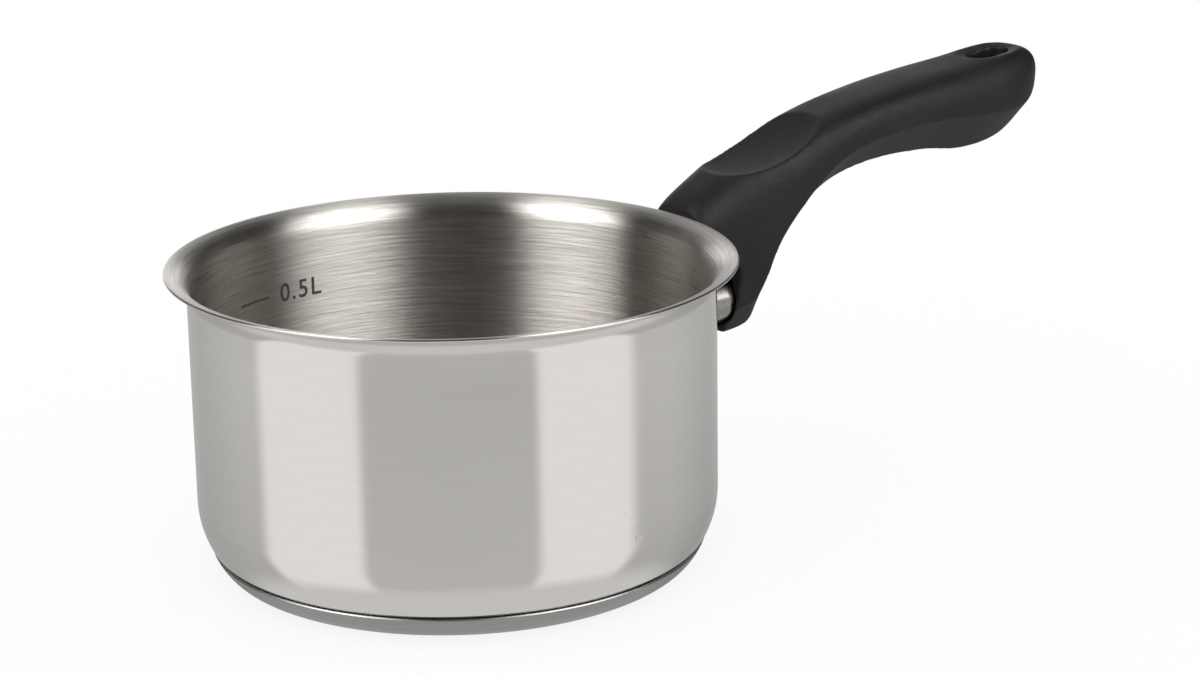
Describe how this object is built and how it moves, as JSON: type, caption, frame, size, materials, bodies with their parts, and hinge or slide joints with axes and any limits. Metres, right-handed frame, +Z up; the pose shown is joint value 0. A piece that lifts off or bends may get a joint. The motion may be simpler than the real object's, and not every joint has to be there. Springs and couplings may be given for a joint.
{
  "type": "saucepan",
  "caption": "Small stainless steel saucepan with a flared pouring rim, bonded heat spreading base and a bent black moulded handle on a polished flame guard.",
  "frame": {"origin": "centre of the base's underside, on the pot's axis", "axes": "+X from the pot's axis along the handle, +Z up out of the pot's mouth"},
  "size_m": [0.249, 0.13, 0.0973],
  "materials": {
    "pot_steel": "polished outside, brushed inside",
    "core_aluminium": "as pressed",
    "cap_steel": "satin",
    "bracket_steel": "satin",
    "guard_steel": "polished",
    "handle_black": "fine matte grain",
    "fixing_steel": "zinc plated"
  },
  "bodies": {
    "root": {"pot_body": "pot_steel", "base_core": "core_aluminium", "base_cap": "cap_steel", "handle_bracket": "bracket_steel", "flame_guard": "guard_steel", "handle": "handle_black", "handle_screw": "fixing_steel", "screw_washer": "fixing_steel"}
  },
  "joints": []
}
